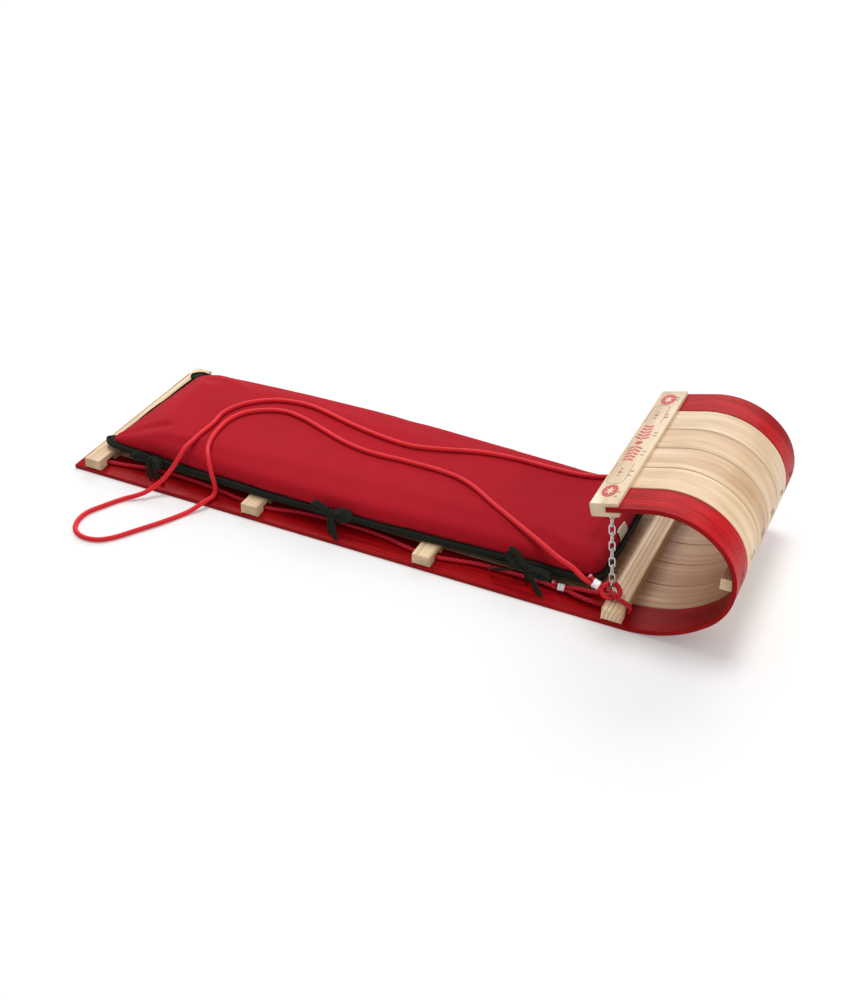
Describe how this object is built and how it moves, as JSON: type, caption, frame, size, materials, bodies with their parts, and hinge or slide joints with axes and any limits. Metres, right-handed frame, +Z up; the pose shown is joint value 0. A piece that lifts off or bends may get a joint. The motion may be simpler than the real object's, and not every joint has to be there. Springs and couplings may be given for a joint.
{
  "type": "toboggan",
  "caption": "Long slatted wooden toboggan with a bent-up front curl held by chains, crossbars, a tied seat cushion, a pull rope and grab ropes.",
  "frame": {"origin": "centre of the toboggan's bounding box on the ground, measured without the two ropes and their ferrules", "axes": "+X from the tail towards the curl, +Y to the rider's left, +Z up"},
  "size_m": [1.2191, 0.5586, 0.2405],
  "materials": {
    "painted_slat": "red stain under gloss varnish",
    "natural_slat": "clear varnish",
    "crossbar_wood": "satin varnish",
    "headboard_wood": "clear varnish",
    "zinc_chain": "bright zinc plate",
    "cover_canvas": "matte woven canvas",
    "base_canvas": "matte woven canvas",
    "foam": "open-cell foam",
    "binding_tape": "woven tape",
    "label_cloth": "plain woven label",
    "pull_cord": "smooth braided cord",
    "grab_cord": "coarse braided cord",
    "ferrule_aluminium": "pressed, dull"
  },
  "bodies": {
    "root": {"slat_right_outer": "painted_slat", "slat_2": "natural_slat", "slat_3": "natural_slat", "slat_4": "natural_slat", "slat_5": "natural_slat", "slat_left_outer": "painted_slat", "tail_crossbar": "crossbar_wood", "rear_crossbar": "crossbar_wood", "middle_crossbar": "crossbar_wood", "front_crossbar": "crossbar_wood", "nose_crossbar": "crossbar_wood", "headboard": "headboard_wood", "chain_right_link_1": "zinc_chain", "chain_right_link_2": "zinc_chain", "chain_right_link_3": "zinc_chain", "chain_right_link_4": "zinc_chain", "chain_right_link_5": "zinc_chain", "chain_right_link_6": "zinc_chain", "chain_right_link_7": "zinc_chain", "chain_right_link_8": "zinc_chain", "chain_right_link_9": "zinc_chain", "chain_right_link_10": "zinc_chain", "chain_left_link_1": "zinc_chain", "chain_left_link_2": "zinc_chain", "chain_left_link_3": "zinc_chain", "chain_left_link_4": "zinc_chain", "chain_left_link_5": "zinc_chain", "chain_left_link_6": "zinc_chain", "chain_left_link_7": "zinc_chain", "chain_left_link_8": "zinc_chain", "chain_left_link_9": "zinc_chain", "chain_left_link_10": "zinc_chain", "upper_screw_eye_right": "zinc_chain", "upper_screw_eye_left": "zinc_chain", "lower_screw_eye_right": "zinc_chain", "lower_screw_eye_left": "zinc_chain", "cushion_cover": "cover_canvas", "cushion_base": "base_canvas", "foam_core": "foam", "cushion_binding": "binding_tape", "care_label": "label_cloth", "tie_rear_right": "binding_tape", "tie_rear_left": "binding_tape", "tie_middle_right": "binding_tape", "tie_middle_left": "binding_tape", "tie_front_right": "binding_tape", "tie_front_left": "binding_tape", "pull_rope": "pull_cord", "grab_rope": "grab_cord", "pull_rope_ferrule_right": "ferrule_aluminium", "pull_rope_ferrule_left": "ferrule_aluminium", "grab_rope_ferrule_right": "ferrule_aluminium", "grab_rope_ferrule_left": "ferrule_aluminium"}
  },
  "joints": []
}
